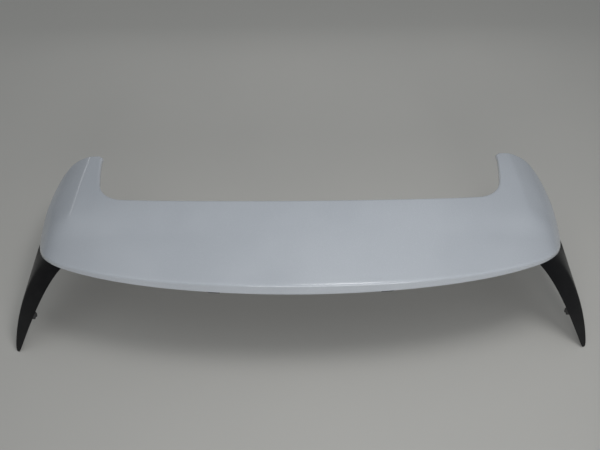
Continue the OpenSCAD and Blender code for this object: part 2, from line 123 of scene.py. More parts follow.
def between(a, b, w):
    return a * (1 - w) + b * w


def bezier(points, t):
    p = np.array(points, float)
    t = np.asarray(t, float)[..., None]
    return (1 - t) ** 3 * p[0] + 3 * (1 - t) ** 2 * t * p[1] + 3 * (1 - t) * t * t * p[2] + t ** 3 * p[3]


def path_at(path, a):
    """Points of an outline's right half, for shares a of its run from the centre to the arm's tip."""
    a = np.asarray(a, float)
    found = np.zeros(a.shape + (2,))
    for curve, low, high in zip(path, PATH_BREAKS, PATH_BREAKS[1:]):
        here = a >= low
        found[here] = bezier(curve, (a[here] - low) / (high - low))
    return found


def across(path, a):
    """Unit vectors in plan across an outline, pointing from the notch towards the outer edge."""
    a = np.minimum(a, 0.998)
    d = path_at(path, a + 0.001) - path_at(path, np.maximum(0, a - 0.001))
    return unit(np.stack((d[..., 1], -d[..., 0]), -1))


def arm_relief(y):
    """The sides droop less in the arms than at the rear corners."""
    return 1 - 0.6 * smooth(-30, 100, y)


def top_at(q):
    """Height of the top surface. Its crease is crisp in the arms and lost in the rear corners."""
    x = np.abs(q[..., 0])
    y = q[..., 1]
    s = x - CREASE_X
    w = 6 + 60 * smooth(0, 90, 50 - y)
    crown = CROWN_DROP * (x / CROWN_REACH) ** 2 + y ** 2 / (2 * CAMBER_RADIUS)
    crease = CREASE_SLOPE * (s + np.sqrt(s * s + w * w)) / 2
    droop = SIDE_DROOP * arm_relief(y) * np.maximum(0, s) ** 3
    return TOP_Z - crown - crease - droop


def lift(q, dz):
    return np.concatenate((q, (top_at(q) - dz)[..., None]), -1)


def steepness(q):
    """Vertical thickness of a skin of unit thickness."""
    step_x = np.array((1, 0))
    step_y = np.array((0, 1))
    gx = (top_at(q + step_x) - top_at(q - step_x)) / 2
    gy = (top_at(q + step_y) - top_at(q - step_y)) / 2
    return np.sqrt(1 + gx ** 2 + gy ** 2)


def rear_share(x):
    return np.maximum(0, 1 - (np.abs(x) / LIP_REACH) ** 1.5)


def lip_height(x):
    return LIP_MIN + LIP_GAIN * rear_share(x)


def lip_slant(x):
    return 1 + 3 * rear_share(x)


def joined_steps(counts):
    """Shares of the run from the centre to the tip, with so many steps on each joined curve."""
    runs = [np.linspace(low, high, count, endpoint=False)
            for low, high, count in zip(PATH_BREAKS, PATH_BREAKS[1:], counts)]
    return np.append(np.concatenate(runs), 1)


def both_halves(half):
    """Rows of the right half, from the centre outwards, carried over the centre plane to the left."""
    return np.concatenate((half[:0:-1] * (-1, 1, 1), half))


# ---------- meshes ----------

# Edges sharper than so many degrees stay crisp
SHARP_ANGLE = 35


def loft_faces(rows, columns):
    """Quads between rings of so many points, each ring joined end to start."""
    return [(r * columns + c, r * columns + (c + 1) % columns,
             (r + 1) * columns + (c + 1) % columns, (r + 1) * columns + c)
            for r in range(rows - 1) for c in range(columns)]


def mesh_from(name, points, faces, sharp=SHARP_ANGLE):
    """A clean mesh with outward normals, smooth apart from edges sharper than so many degrees."""
    mesh = bpy.data.meshes.new(name)
    mesh.from_pydata((np.asarray(points).reshape(-1, 3) * MM).tolist(), [], faces)
    work = bmesh.new()
    work.from_mesh(mesh)
    bmesh.ops.remove_doubles(work, verts=work.verts, dist=2e-6)
    bmesh.ops.dissolve_degenerate(work, edges=work.edges, dist=1e-7)
    bmesh.ops.recalc_face_normals(work, faces=work.faces)
    work.to_mesh(mesh)
    work.free()
    mesh.shade_smooth()
    mesh.set_sharp_from_angle(angle=math.radians(sharp))
    return mesh


def new_object(name, mesh):
    made = bpy.data.objects.new(name, mesh)
    bpy.context.scene.collection.objects.link(made)
    return made


def as_piece(made, finish, slot, *nodes):
    """The object takes a finish, rides on the part and stands for the CAD nodes."""
    made.data.materials.clear()
    made.data.materials.append(finish)
    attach(made, "root")
    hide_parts(*nodes)
    return made


def combine(base, tool, operation):
    """Joins or cuts the base with the tool, which is used up."""
    change = base.modifiers.new(operation, "BOOLEAN")
    change.object = tool
    change.operation = operation
    change.solver = "MANIFOLD"
    bpy.context.view_layer.update()
    made = bpy.data.meshes.new_from_object(base.evaluated_get(bpy.context.evaluated_depsgraph_get()))
    base.modifiers.clear()
    base.data = made
    bpy.data.objects.remove(tool)
    made.shade_smooth()
    made.set_sharp_from_angle(angle=math.radians(SHARP_ANGLE))


def lathe(profile, segments=48):
    """Points and faces of a solid of revolution about Z. The profile runs from axis to axis."""
    turns = np.arange(segments) / segments * math.tau
    rings = [[(r * math.cos(a), r * math.sin(a), z) for a in turns] for r, z in profile]
    return np.array(rings).reshape(-1, 3), loft_faces(len(profile), segments)


def islands(node):
    """The lowest and highest corner of each separate solid of a CAD node, in millimetres."""
    work = bmesh.new()
    work.from_mesh(frame["nodes"][node].data)
    bmesh.ops.remove_doubles(work, verts=work.verts, dist=1e-6)
    waiting = set(work.verts)
    boxes = []
    while waiting:
        front = {waiting.pop()}
        found = set()
        while front:
            found |= front
            front = {e.other_vert(v) for v in front for e in v.link_edges} & waiting
            waiting -= front
        points = np.array([v.co for v in found]) / MM
        boxes.append((points.min(0), points.max(0)))
    work.free()
    return sorted(boxes, key=lambda box: tuple(box[0]))


def repeated(shape, places):
    """Points and faces of one shape put at several places."""
    points, faces = shape
    many_points = np.concatenate([points + np.array(place) for place in places])
    many_faces = [tuple(i + k * len(points) for i in face) for k in range(len(places)) for face in faces]
    return many_points, many_faces


def merged(*shapes):
    points = []
    faces = []
    for shape_points, shape_faces in shapes:
        faces += [tuple(i + sum(map(len, points)) for i in face) for face in shape_faces]
        points.append(shape_points)
    return np.concatenate(points), faces


# ---------- materials ----------

def new_material(name, colour, roughness, **values):
    """Principled material. Names of further sockets have _ for a space."""
    made = bpy.data.materials.new(name)
    made.use_nodes = True
    shader = made.node_tree.nodes["Principled BSDF"]
    shader.inputs["Base Color"].default_value = (*colour, 1)
    shader.inputs["Roughness"].default_value = roughness
    for key, value in values.items():
        shader.inputs[key.replace("_", " ")].default_value = value
    return made


def add_node(finish, kind, links=(), **settings):
    """Adds a node, with its sockets or attributes set and its inputs linked."""
    tree = finish.node_tree
    node = tree.nodes.new(kind)
    for key, value in settings.items():
        if key in node.inputs:
            node.inputs[key].default_value = value
        else:
            setattr(node, key, value)
    for key, source in links:
        tree.links.new(source, node.inputs[key])
    return node


def object_place(finish):
    return add_node(finish, "ShaderNodeTexCoord").outputs["Object"]


def noise(finish, per_metre, detail=3, stretch=(1, 1, 1)):
    placed = add_node(finish, "ShaderNodeMapping", [("Vector", object_place(finish))], Scale=stretch)
    links = [("Vector", placed.outputs["Vector"])]
    return add_node(finish, "ShaderNodeTexNoise", links, Scale=per_metre, Detail=detail).outputs["Fac"]


def cells(finish, per_metre):
    links = [("Vector", object_place(finish))]
    return add_node(finish, "ShaderNodeTexVoronoi", links, Scale=per_metre).outputs["Distance"]


def mapped(finish, source, low, high, to_low, to_high):
    settings = {"From Min": low, "From Max": high, "To Min": to_low, "To Max": to_high}
    return add_node(finish, "ShaderNodeMapRange", [("Value", source)], **settings).outputs["Result"]


def into(finish, socket, source):
    shader = finish.node_tree.nodes["Principled BSDF"]
    finish.node_tree.links.new(source, shader.inputs[socket])


def blend_colours(finish, share, first, second):
    """Base colour between two colours by a share."""
    mix = add_node(finish, "ShaderNodeMix", data_type="RGBA")
    mix.inputs[6].default_value = (*first, 1)
    mix.inputs[7].default_value = (*second, 1)
    finish.node_tree.links.new(share, mix.inputs[0])
    into(finish, "Base Color", mix.outputs[2])


def relief(finish, layers):
    """Bump from layers of (height source, depth in millimetres)."""
    normal = None
    for height, depth in layers:
        links = [("Height", height)] + ([("Normal", normal)] if normal else [])
        bump = add_node(finish, "ShaderNodeBump", links, Distance=depth * MM, Strength=1)
        normal = bump.outputs["Normal"]
    into(finish, "Normal", normal)


def paint_finish():
    """Bluish white gloss paint with fine orange peel and a little dust."""
    finish = new_material("paint", (0.60, 0.64, 0.695), 0.3, Coat_Weight=0.9, Coat_Roughness=0.07,
                          Coat_IOR=1.5, Specular_IOR_Level=0.5)
    cloud = mapped(finish, noise(finish, 6, 2), 0.35, 0.65, 0, 1)
    blend_colours(finish, cloud, (0.58, 0.62, 0.675), (0.62, 0.66, 0.715))
    dust = noise(finish, 900, 4)
    into(finish, "Roughness", mapped(finish, dust, 0.55, 0.75, 0.26, 0.48))
    relief(finish, [(noise(finish, 260, 1), 0.012)])
    return finish


def gloss_black_finish():
    """Glossy moulded black with a faint haze and swirl marks."""
    finish = new_material("gloss_black", (0.007, 0.007, 0.008), 0.4, Specular_IOR_Level=0.3,
                          Coat_Weight=0.15, Coat_Roughness=0.2)
    haze = mapped(finish, noise(finish, 40, 5), 0.5, 0.8, 0, 1)
    blend_colours(finish, haze, (0.006, 0.006, 0.007), (0.011, 0.011, 0.012))
    swirl = noise(finish, 500, 3, (1, 1, 0.15))
    into(finish, "Roughness", mapped(finish, swirl, 0.4, 0.7, 0.34, 0.5))
    relief(finish, [(noise(finish, 220, 1), 0.012)])
    return finish


def textured_black_finish():
    """Black plastic with a fine spark-eroded grain."""
    finish = new_material("textured_black", (0.028, 0.028, 0.029), 0.55)
    haze = mapped(finish, noise(finish, 14, 4), 0.35, 0.7, 0, 1)
    blend_colours(finish, haze, (0.024, 0.024, 0.025), (0.042, 0.042, 0.043))
    grain = noise(finish, 1500, 3)
    into(finish, "Roughness", mapped(finish, grain, 0.3, 0.7, 0.45, 0.7))
    relief(finish, [(cells(finish, 1400), 0.08), (grain, 0.06)])
    return finish


def foam_finish():
    """Closed-cell foam: small open cells at the cut faces, their sunk centres painted darker as painted
    shade.
    """
    finish = new_material("foam", (0.045, 0.045, 0.048), 0.92, Sheen_Weight=0.25, Sheen_Roughness=0.6)
    pore_depth_and_shade = cells(finish, 900)
    # Painted shade: the colour darkens towards each cell's centre, where the bump below sinks the surface.
    blend_colours(finish, mapped(finish, pore_depth_and_shade, 0.1, 0.6, 0, 1), (0.022, 0.022, 0.024), (0.07, 0.07, 0.074))
    relief(finish, [(noise(finish, 120, 2), 0.3), (pore_depth_and_shade, 0.25)])
    return finish


def steel_finish():
    """Zinc-plated steel with a mottled lustre and turning marks."""
    finish = new_material("zinc_steel", (0.6, 0.6, 0.57), 0.34, Metallic=1)
    mottle = noise(finish, 300, 4)
    blend_colours(finish, mapped(finish, mottle, 0.3, 0.7, 0, 1), (0.50, 0.50, 0.48), (0.68, 0.67, 0.62))
    into(finish, "Roughness", mapped(finish, mottle, 0.3, 0.7, 0.24, 0.46))
    relief(finish, [(noise(finish, 900, 2, (1, 1, 8)), 0.02)])
    return finish


def lens_finish():
    """Deep red moulded acrylic."""
    finish = new_material("red_lens", (0.42, 0.008, 0.012), 0.08, Transmission_Weight=0.75, IOR=1.49,
                          Coat_Weight=0.4, Coat_Roughness=0.03)
    tint = mapped(finish, noise(finish, 30, 2), 0.3, 0.7, 0, 1)
    blend_colours(finish, tint, (0.38, 0.006, 0.010), (0.47, 0.011, 0.015))
    into(finish, "Roughness", mapped(finish, noise(finish, 800, 3), 0.3, 0.7, 0.05, 0.14))
    return finish


def board_finish():
    """Green solder mask with a faint pattern of tracks."""
    finish = new_material("board_green", (0.02, 0.16, 0.06), 0.35, Coat_Weight=0.5, Coat_Roughness=0.2)
    links = [("Vector", object_place(finish))]
    tracks = add_node(finish, "ShaderNodeTexBrick", links, Scale=90, offset=0.3)
    tracks.inputs["Mortar Size"].default_value = 0.03
    blend_colours(finish, tracks.outputs["Fac"], (0.016, 0.13, 0.05), (0.05, 0.24, 0.09))
    relief(finish, [(tracks.outputs["Fac"], 0.03)])
    return finish


def led_finish():
    """Pale resin of the diodes with yellowish patches."""
    finish = new_material("led_resin", (0.8, 0.74, 0.55), 0.2, Coat_Weight=0.6)
    blend_colours(finish, noise(finish, 700, 2), (0.84, 0.80, 0.68), (0.74, 0.62, 0.34))
    into(finish, "Roughness", mapped(finish, noise(finish, 1200, 2), 0.3, 0.7, 0.14, 0.3))
    return finish


def reflector_finish():
    """Vacuum-metallised plastic, a little wavy."""
    finish = new_material("metallised", (0.78, 0.78, 0.79), 0.12, Metallic=1)
    into(finish, "Roughness", mapped(finish, noise(finish, 350, 3), 0.3, 0.7, 0.08, 0.22))
    relief(finish, [(noise(finish, 150, 1), 0.05)])
    return finish


def socket_finish():
    """Natural nylon, milky and slightly mottled."""
    finish = new_material("natural_nylon", (0.72, 0.70, 0.62), 0.42, Subsurface_Weight=0.2)
    blend_colours(finish, noise(finish, 160, 3), (0.68, 0.66, 0.57), (0.77, 0.75, 0.68))
    relief(finish, [(noise(finish, 1300, 2), 0.02)])
    return finish


paint = paint_finish()
gloss_black = gloss_black_finish()
textured_black = textured_black_finish()
foam = foam_finish()
steel = steel_finish()
FINISHES = {"textured_black": textured_black, "gloss_black": gloss_black, "steel": steel,
            "board": board_finish(), "led": led_finish(), "reflector": reflector_finish(),
            "socket": socket_finish(), "foam": foam}


# ---------- painted shell ----------

# Radius of the skin's free edges
RIM_R = 1.1
# Turns through a quarter circle, for rounded edges
QUARTER = np.radians(np.arange(0, 91, 11.25))


def upper_ring(u):
    """Closed rings round the painted skin at shares u of the run, and the depth of their points."""
    pi = path_at(INNER_PATH, u)
    po = path_at(OUTER_PATH, u)
    ni = across(INNER_PATH, u)
    no = across(OUTER_PATH, u)
    slant = lip_slant(po[:, 0])[:, None]
    top_edge = po - no * slant
    lip_z = top_at(top_edge) - lip_height(po[:, 0])
    start = pi + ni * FRONT_R
    end = po - no * (slant + LIP_R)
    columns = []
    depths = []

    def add(column, k):
        columns.append(column)
        depths.append(k)

    def flange_foot(k, rise):
        add(lift(pi + ni * k, FLANGE_H - rise), k)

    def lip_foot(k, rise):
        add(np.concatenate((po - no * k, (lip_z + rise)[:, None]), -1), k)

    def sheet(k, order):
        """From the flange's foot over the top to the lip's foot, or the other way."""
        before = len(columns)
        flange_foot(k, RIM_R)
        for turn in QUARTER:
            q = pi + ni * (k + (FRONT_R - k) * (1 - math.cos(turn)))
            add(lift(q, k * steepness(q) + (FRONT_R - k) * (1 - math.sin(turn))), k)
        for w in np.linspace(0, 1, 49)[1:-1]:
            q = between(start, end, w)
            add(lift(q, k * steepness(q)), k)
        for turn in QUARTER[::-1]:
            q = top_edge - no * (k + (LIP_R - k) * (1 - math.cos(turn)))
            add(lift(q, k * steepness(q) + (LIP_R - k) * (1 - math.sin(turn))), k)
        face_start = columns[-1]
        lip_foot(k, RIM_R)
        face_end = columns.pop()
        depths.pop()
        for w in (0.25, 0.5, 0.75, 1):
            add(between(face_start, face_end, w), k)
        columns[before:] = columns[before:][::order]

    rim = [(RIM_R * (1 - math.cos(a)), RIM_R * (1 - math.sin(a))) for a in QUARTER[2::2]]
    whole_rim = rim + [(SKIN - k, rise) for k, rise in rim[::-1]]
    sheet(0, 1)
    for k, rise in whole_rim:
        lip_foot(k, rise)
    sheet(SKIN, -1)
    for k, rise in whole_rim[::-1]:
        flange_foot(k, rise)
    return np.stack(columns, 1), np.array(depths)


def tip_ring(ring, depths, reach, share):
    """The last ring carried towards the arm's front edge by the share reach, and turned down by a share."""
    along = unit(CORNER[1] - CORNER[0])
    out = np.array((-along[1], along[0]))
    first = along @ TIP_INNER
    last = along @ TIP_OUTER
    q = ring[:, :2]
    w = ((q @ along - first) / (last - first))[:, None]
    edge = between(CORNER[0], CORNER[1], w) - out * depths[:, None]
    carried = q + (edge - q) * reach[:, None]
    above = np.maximum(0, ring[:, 2] - top_at(q) + FLANGE_H)
    return np.column_stack((carried, ring[:, 2] - above * share))


def upper_shell():
    rings, depths = upper_ring(joined_steps((56, 36, 24, 28)))
    radius = FRONT_R - depths
    tips = [tip_ring(rings[-1], depths, radius * math.sin(a) / (radius + 0.5),
                     radius * (1 - math.cos(a)) / (FLANGE_H - depths)) for a in QUARTER[1:]]
    full = np.ones(len(depths))
    tips += [tip_ring(rings[-1], depths, full, full * share) for share in (0.6, 0.9)]
    rows = both_halves(np.concatenate((rings, np.array(tips))))
    count, columns = rows.shape[:2]
    faces = loft_faces(count, columns)
    sheet = int(np.argmax(depths > 0))
    inner_start = int(np.argmax(depths == SKIN))
    for row in (0, (count - 1) * columns):
        for i in range(sheet - 1):
            j = inner_start + sheet - 1 - i
            faces.append((row + i, row + i + 1, row + j - 1, row + j))
        faces.append(tuple(range(row + sheet - 1, row + inner_start + 1)))
        faces.append((*range(row + inner_start + sheet - 1, row + columns), row))
    made = new_object("painted_shell", mesh_from("painted_shell", rows, faces, 40))
    as_piece(made, paint, "paint", "upper_shell")


# ---------- lower shell ----------

# Radius and top of the bosses round the studs and locating pins
INNER_BOSS = (14, 8)
OUTER_BOSS = (13, 10)
LOCATOR_BOSS = (10, 6)
# Radii of the bosses for the screws and push clips
TAB_BOSS_R = 5
TOWER_BOSS_R = 8
PUSH_BOSS_R = 11
SEAL_RECESS_R = 9.3
NECK_HOLE_R = 3.4
LOCATOR_HOLE_R = 2.5
TAB_PILOT_R = 2.1
SCREW_HOLE_R = 2.4
PUSH_HOLE_R = 3.6
# Window for the lamp's lead: centre, half sizes and corner radius
WINDOW = ((0, -38), 30, 17, 4)
# Cut in the rear edge for the lamp
NOTCH_LOW = (-208, -192, -30)
NOTCH_HIGH = (208, -132, 50)
# Cross beads: distances from the centre plane, and height
BEADS = (120, 238, 372)
BEAD_RISE = 1.8
# Space between the floor's rear edge and the lip's skin, and how far that edge is above the lip's foot
REAR_GAP = 2.7
REAR_STEP = 0.8
# Share of the run that the floor covers
FLOOR_RUN = 0.98
# Space between the floor's turned-up front end and the painted skin
END_GAP = 1.5


def mid_depth(x):
    return FLOOR_DEPTH + (ARM_DEPTH - FLOOR_DEPTH) * smooth(200, 500, np.abs(x))


def stiffening(x, v):
    """Height of the shallow cross beads pressed up into the floor."""
    height = 0
    for centre in BEADS:
        height = height + BEAD_RISE * (1 - smooth(5, 11, np.abs(np.abs(x) - centre)))
    return height * smooth(0.24, 0.30, v) * (1 - smooth(0.62, 0.68, v))


def floor_depth_at(x, v):
    front = FLANGE_H + 1
    mid = mid_depth(x)
    rear = lip_height(x) - REAR_STEP
    return front + (mid - front) * smooth(0, 0.16, v) + (rear - mid) * smooth(0.78, 1, v) - stiffening(x, v)


def lower_edges(u):
    """Plan points of the floor's front and rear edges."""
    po = path_at(OUTER_PATH, u)
    start = path_at(INNER_PATH, u) + across(INNER_PATH, u) * (SKIN + SEAT_GAP)
    return start, po - across(OUTER_PATH, u) * (lip_slant(po[:, 0]) + SKIN + REAR_GAP)[:, None]


def lower_point(u, v):
    start, end = lower_edges(u)
    q = between(start, end, v)
    return lift(q, floor_depth_at(q[:, 0], v))


def lower_rows(u):
    start, end = lower_edges(u)
    width = np.linalg.norm(end - start, axis=-1)
    bend = 2
    columns = [lift(start, np.full(len(u), depth)) for depth in (FRONT_R + 1, FRONT_R + 3, FLANGE_H - bend)]
    for turn in QUARTER[::2][1:]:
        v = bend * (1 - math.cos(turn)) / width
        q = between(start, end, v[:, None])
        columns.append(lift(q, floor_depth_at(q[:, 0], v) - bend * (1 - math.sin(turn))))
    columns += [lower_point(u, v) for v in np.linspace(0, 1, 65)[2:]]
    return np.stack(columns, 1)


def grid_normals(grid):
    along = np.gradient(grid, axis=0)
    over = np.gradient(grid, axis=1)
    return unit(np.cross(over, along))


def solid_from(outer, inner):
    """Points and faces of the closed solid between two sheets of the same size."""
    rows = np.concatenate((outer, inner[:, ::-1]), 1)
    count, columns = rows.shape[:2]
    faces = loft_faces(count, columns)
    for row in (0, (count - 1) * columns):
        faces += [(row + i, row + i + 1, row + columns - 2 - i, row + columns - 1 - i)
                  for i in range(columns // 2 - 1)]
    return rows.reshape(-1, 3), faces


def boss(at, radius, low, high):
    """Round boss with an eased lower rim."""
    ease = 0.8
    profile = [(0, low), (radius - ease, low), (radius - ease * 0.3, low + ease * 0.3),
               (radius, low + ease), (radius + 0.3, high), (0, high)]
    return repeated(lathe(profile), [(at[0], at[1], 0)])


def drill(at, radius, low, high):
    return repeated(lathe([(0, low), (radius, low), (radius, high), (0, high)]), [(at[0], at[1], 0)])


def box_shape(low, high):
    x, y, z = zip(low, high)
    points = np.array([(a, b, c) for a in x for b in y for c in z], float)
    faces = [(0, 1, 3, 2), (4, 6, 7, 5), (0, 4, 5, 1), (2, 3, 7, 6), (0, 2, 6, 4), (1, 5, 7, 3)]
    return points, faces


def rounded_prism(centre, half_x, half_y, radius, low, high):
    """Upright prism with a rounded rectangle for its plan."""
    outline = []
    for corner_x, corner_y, first in ((1, 1, 0), (-1, 1, 90), (-1, -1, 180), (1, -1, 270)):
        for a in np.radians(first + np.arange(0, 91, 15)):
            outline.append((centre[0] + corner_x * (half_x - radius) + radius * math.cos(a),
                            centre[1] + corner_y * (half_y - radius) + radius * math.sin(a)))
    count = len(outline)
    points = np.array([(*p, z) for z in (low, high) for p in outline])
    faces = loft_faces(2, count) + [tuple(range(count)), tuple(range(count, 2 * count))]
    return points, faces


def middles(node):
    """Plan centre, bottom and top of each separate solid of a CAD node."""
    return [((low[:2] + high[:2]) / 2, low[2], high[2]) for low, high in islands(node)]


def lower_shell():
    u = joined_steps((44, 24, 18, 14)) * FLOOR_RUN
    half = lower_rows(u)
    end = half[-1].copy()
    high = top_at(end[:, :2]) - SKIN - END_GAP - FLOOR_SKIN
    end[:, 1] += 1
    end[:, 2] = end[:, 2] * 0.15 + high * 0.85
    grid = both_halves(np.concatenate((half, end[None])))
    normals = grid_normals(grid)
    normals *= np.sign(normals[..., 2:].mean())
    body = solid_from(grid + normals * FLOOR_SKIN, grid)
    shell = new_object("lower_shell_fine", mesh_from("lower_shell_fine", *body))

    bosses = []
    holes = []
    for at, low, high in middles("stud_seals"):
        radius, top = OUTER_BOSS if abs(at[0]) > CREASE_X else INNER_BOSS
        bosses.append(boss(at, radius, 0, top))
        holes.append(drill(at, SEAL_RECESS_R, -1, high + 0.1))
        holes.append(drill(at, NECK_HOLE_R, high, 20))
    for at, low, high in middles("locating_pins"):
        radius, top = LOCATOR_BOSS
        bosses.append(boss(at, radius, 0, top))
        holes.append(drill(at, LOCATOR_HOLE_R, -5, top + 1))
    for at, low, high in middles("fin_screws"):
        bosses.append(boss(at, TAB_BOSS_R, -19.95, 0.05))
        holes.append(drill(at, TAB_PILOT_R, -21, -8))
    for at, low, high in middles("shell_screws"):
        bosses.append(boss(at, TOWER_BOSS_R, low + 2.6, low + 8.6))
        holes.append(drill(at, SCREW_HOLE_R, low - 4, low + 20))
    for at, low, high in middles("push_clips"):
        bosses.append(boss(at, PUSH_BOSS_R, low + 18.05, low + 24.05))
        holes.append(drill(at, PUSH_HOLE_R, low, low + 35))
    for shape in bosses:
        combine(shell, new_object("boss", mesh_from("boss", *shape)), "UNION")
    holes += [rounded_prism(*WINDOW, -20, 20), box_shape(NOTCH_LOW, NOTCH_HIGH)]
    for shape in holes:
        combine(shell, new_object("hole", mesh_from("hole", *shape)), "DIFFERENCE")
    as_piece(shell, textured_black, "textured_black", "lower_shell")


# ---------- side fins ----------

# Where the fin's front edge, crease and rear edge start, as shares of the shell's outer edge
ROOT_FRONT = 0.82
ROOT_CORNER = 0.70
ROOT_REAR = 0.635
# How far the root sits under the lip's foot and in from the shell's outer edge
ROOT_DROP = 1.5
ROOT_INSET = 0.8
# Bulge of the two faces at the root
FIN_CROWN = 12
# Shares of the fin's length: how far the fit to the shell reaches, and where the tip narrows
FIT_REACH = 0.35
FIN_TIP = 0.94
# Half width of the eased crease, as a share of the way round the fin
CREASE_EASE = 0.035
# Foam strip inside the fin: space to the open side, thickness, and height of its waves
TAPE_GAP = 0.2
TAPE_THICK = 3.8
TAPE_WAVE = 0.25


def root_point(u):
    """Where the fin meets the shell: a point just under the lip."""
    p = path_at(OUTER_PATH, u)
    n = across(OUTER_PATH, u)
    face = p - n * lip_slant(p[..., :1])
    z = top_at(face) - lip_height(p[..., 0]) - ROOT_DROP
    return np.concatenate((p - n * ROOT_INSET, z[..., None]), -1)


RAIL_FRONT = (root_point(ROOT_FRONT), (598, -18, -38), (620, -112, -112), (641, -184, -180))
RAIL_CREASE = (root_point(ROOT_CORNER), (602, -88, -42), (640, -146, -128), (643, -188, -186))
RAIL_REAR = (root_point(ROOT_REAR), (555, -120, -40), (600, -163, -125), (635, -191, -187))


def fin_flat(s, t):
    """Outer face before it is fitted to the shell; s runs over the crease, t down the fin."""
    a = bezier(RAIL_FRONT, t)
    c = bezier(RAIL_CREASE, t)
    b = bezier(RAIL_REAR, t)
    first_half = (s < 0.5)[..., None]
    f = (s * 2 - (s >= 0.5))[..., None]
    straight = np.where(first_half, between(a, c, f), between(c, b, f))
    return straight + unit(c - (a + b) / 2) * FIN_CROWN * f * (1 - f) * (1 - t[..., None])


def fin_crisp(s, t):
    share = np.where(s < 0.5, ROOT_FRONT + (ROOT_CORNER - ROOT_FRONT) * s * 2,
                     ROOT_CORNER + (ROOT_REAR - ROOT_CORNER) * (s * 2 - 1))
    to_root = root_point(share) - fin_flat(s, np.zeros_like(t))
    mid = (bezier(RAIL_FRONT, t) + bezier(RAIL_REAR, t)) / 2
    p = fin_flat(s, t) + to_root * (1 - smooth(0, FIT_REACH, t))[..., None]
    narrowing = np.sqrt(1 - 0.7 * (np.maximum(0, t - FIN_TIP) / (1 - FIN_TIP)) ** 2)
    return mid + (p - mid) * narrowing[..., None]


def fin_point(s, t):
    """Outer face with its crease eased."""
    reach = np.minimum(CREASE_EASE, np.minimum(s, 1 - s))
    weights = (1, 2, 3, 2, 1)
    places = zip((-1, -0.5, 0, 0.5, 1), weights)
    return sum(w * fin_crisp(s + reach * k, t) for k, w in places) / sum(weights)


def chord_point(s, t, rim):
    """Point of the open inner side, on the straight line from rim to rim."""
    a = fin_crisp(np.zeros_like(t), t)
    b = fin_crisp(np.ones_like(t), t)
    width = np.linalg.norm(b - a, axis=-1, keepdims=True)
    inset = (b - a) / width * np.minimum(rim, 0.3 * width)
    return between(a + inset, b - inset, s[..., None])


def fin_body(s, t, h):
    """Point of the fin's skin: h is 0 on the outer face and 1 on the inner one."""
    p = fin_point(s, t)
    to_chord = chord_point(s, t, SKIN) - p
    length = np.linalg.norm(to_chord, axis=-1, keepdims=True)
    return p + to_chord * np.minimum(1, SKIN / length) * h[..., None]


def fin_up(t):
    half = np.full_like(t, 0.5)
    return unit(chord_point(half, t - 0.02, SKIN) - chord_point(half, t + 0.02, SKIN))


def fin_normal(t):
    """Outward normal of the fin's open side."""
    forward = unit(fin_crisp(np.zeros_like(t), t) - fin_crisp(np.ones_like(t), t))
    return unit(np.cross(forward, fin_up(t)))


def slab(surface, s_steps, t_steps, ease_s, ease_t, round_start=True):
    """A sheet with rounded rims. surface takes s, t and h, the share of its thickness."""
    turns = np.radians(np.arange(30, 180, 30))
    ease = [(ease_s * (1 - math.sin(a)), (1 - math.cos(a)) / 2) for a in turns]
    s_low, s_high = s_steps[0], s_steps[-1]
    span = s_high - s_low
    run = [s_low + ease_s + (s - s_low) * (span - 2 * ease_s) / span for s in s_steps]
    ring = [(s, 0) for s in run] + [(s_high - ds, h) for ds, h in ease]
    ring += [(s, 1) for s in run[::-1]] + [(s_low + ds, 1 - h) for ds, h in ease]
    t_low, t_high = t_steps[0], t_steps[-1]
    ends = [(ease_t * (1 - math.cos(a)), math.sin(a)) for a in np.radians((0, 30, 60))]
    first = [(t_low + dt, thick) for dt, thick in ends] if round_start else [(t_low, 1)]
    last = [(t_high - dt, thick) for dt, thick in ends[::-1]]
    inside = [(t, 1) for t in t_steps if t_low + ease_t <= t <= t_high - ease_t]
    rows = first + [row for row in inside if row[0] > first[-1][0]] + last
    s = np.array([[p[0] for p in ring]] * len(rows))
    t = np.array([[row[0]] * len(ring) for row in rows])
    h = np.array([[0.5 + (p[1] - 0.5) * row[1] for p in ring] for row in rows])
    count, columns = s.shape
    faces = loft_faces(count, columns)
    if not round_start:
        half = len(run)
        gap = len(ease)
        faces += [(i, i + 1, 2 * half + gap - 2 - i, 2 * half + gap - 1 - i) for i in range(half - 1)]
        faces.append(tuple(range(half - 1, half + gap + 1)))
        faces.append((*range(2 * half + gap - 1, columns), 0))
    return surface(s, t, h).reshape(-1, 3), faces


def mirrored(shape):
    points, faces = shape
    return points * (-1, 1, 1), faces


def fin_skin_shape():
    steps_s = np.linspace(0, 1, 45)
    steps_t = np.concatenate((np.linspace(0, FIN_TIP, 90), np.linspace(FIN_TIP, 1, 14)[1:]))
    return slab(fin_body, steps_s, steps_t, 0.016, 0.004, round_start=False)


def tape_shape():
    """Foam strip inside the fin, with rounded edges."""
    def surface(s, t, h):
        depth = TAPE_GAP + TAPE_THICK * h + TAPE_WAVE * np.sin(t * 160) * h
        return chord_point(s, t, SKIN + 1) - fin_normal(t) * depth[..., None]
    return slab(surface, np.linspace(0.06, 0.2, 9), np.linspace(0.2, 0.76, 60), 0.02, 0.008)


def both_fins(name, shape, finish, slot, node):
    for side, body in (("left", mirrored(shape)), ("right", shape)):
        made = new_object(f"{side}_{name}", mesh_from(f"{side}_{name}", *body))
        as_piece(made, finish, slot, f"{side}_{node}")


# ---------- fasteners, seals and supports ----------

